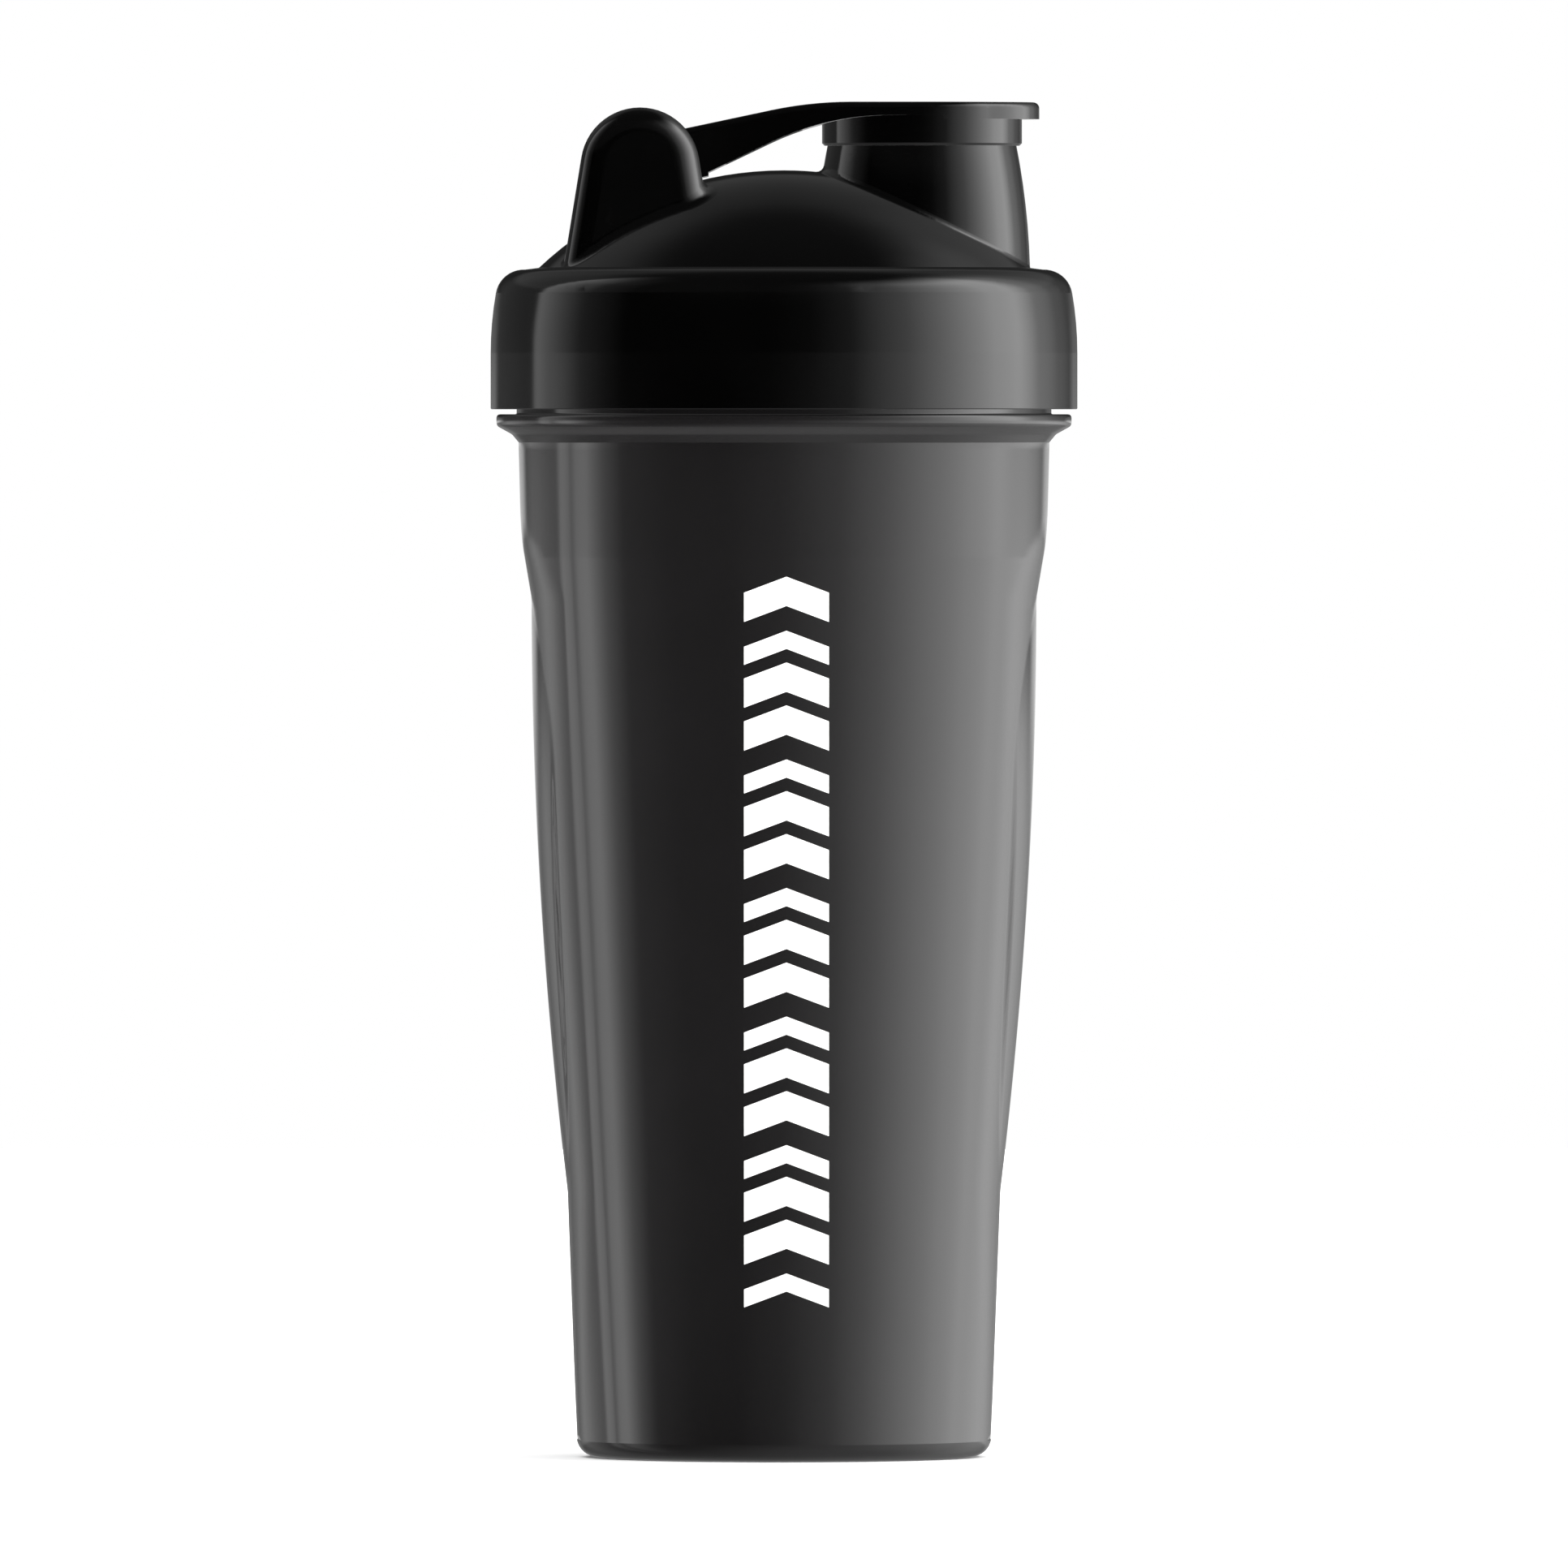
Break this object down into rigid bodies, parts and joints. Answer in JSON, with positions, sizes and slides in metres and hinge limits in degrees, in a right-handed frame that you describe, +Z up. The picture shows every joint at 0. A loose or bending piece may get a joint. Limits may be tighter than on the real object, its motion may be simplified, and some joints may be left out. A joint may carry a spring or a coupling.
{
  "type": "protein shaker bottle",
  "caption": "Tapered shaker cup with side grips, domed screw lid with spout and hinged flip cap, silicone seals and a loose wire whisk ball.",
  "frame": {"origin": "on the cup's axis, at the plane that the foot ring stands on", "axes": "+Z up along the cup's axis, +X towards the drinking spout, -X towards the flip cap's hinge, -Y towards the printed front"},
  "size_m": [0.096, 0.096, 0.2215],
  "materials": {
    "cup_plastic": "charcoal polypropylene, smooth satin gloss",
    "lid_plastic": "black polypropylene, gloss",
    "cap_plastic": "black polypropylene, gloss",
    "silicone": "matte silicone",
    "whisk_steel": "drawn stainless wire",
    "print_ink": "white screen print, satin"
  },
  "bodies": {
    "bottle": {"bottle_body": "cup_plastic"},
    "seal": {"lid_seal": "silicone"},
    "lid": {"screw_lid": "lid_plastic"},
    "flip_cap": {"flip_cap": "cap_plastic", "spout_seal": "silicone"},
    "whisk": {"whisk_ball": "whisk_steel"}
  },
  "joints": [
    {"name": "lid_rise", "type": "slide", "parent": "bottle", "child": "seal", "axis": [0, 0, 1], "range_m": [0, 0.00751]},
    {"name": "lid_turn", "type": "hinge", "parent": "seal", "child": "lid", "pos_m": [0, 0, 0.1915], "axis": [0, 0, 1], "range_deg": [0, 450]},
    {"name": "cap_flip", "type": "hinge", "parent": "lid", "child": "flip_cap", "pos_m": [-0.0235, 0, 0.21085], "axis": [0, -1, 0], "range_deg": [0, 180]},
    {"name": "ball_travel", "type": "slide", "parent": "bottle", "child": "whisk", "axis": [0, 0, 1], "range_m": [0, 0.155]}
  ],
  "couplings": [
    {"joint": "lid_rise", "follows": "lid_turn", "m_per_rad": 0.00095493}
  ]
}
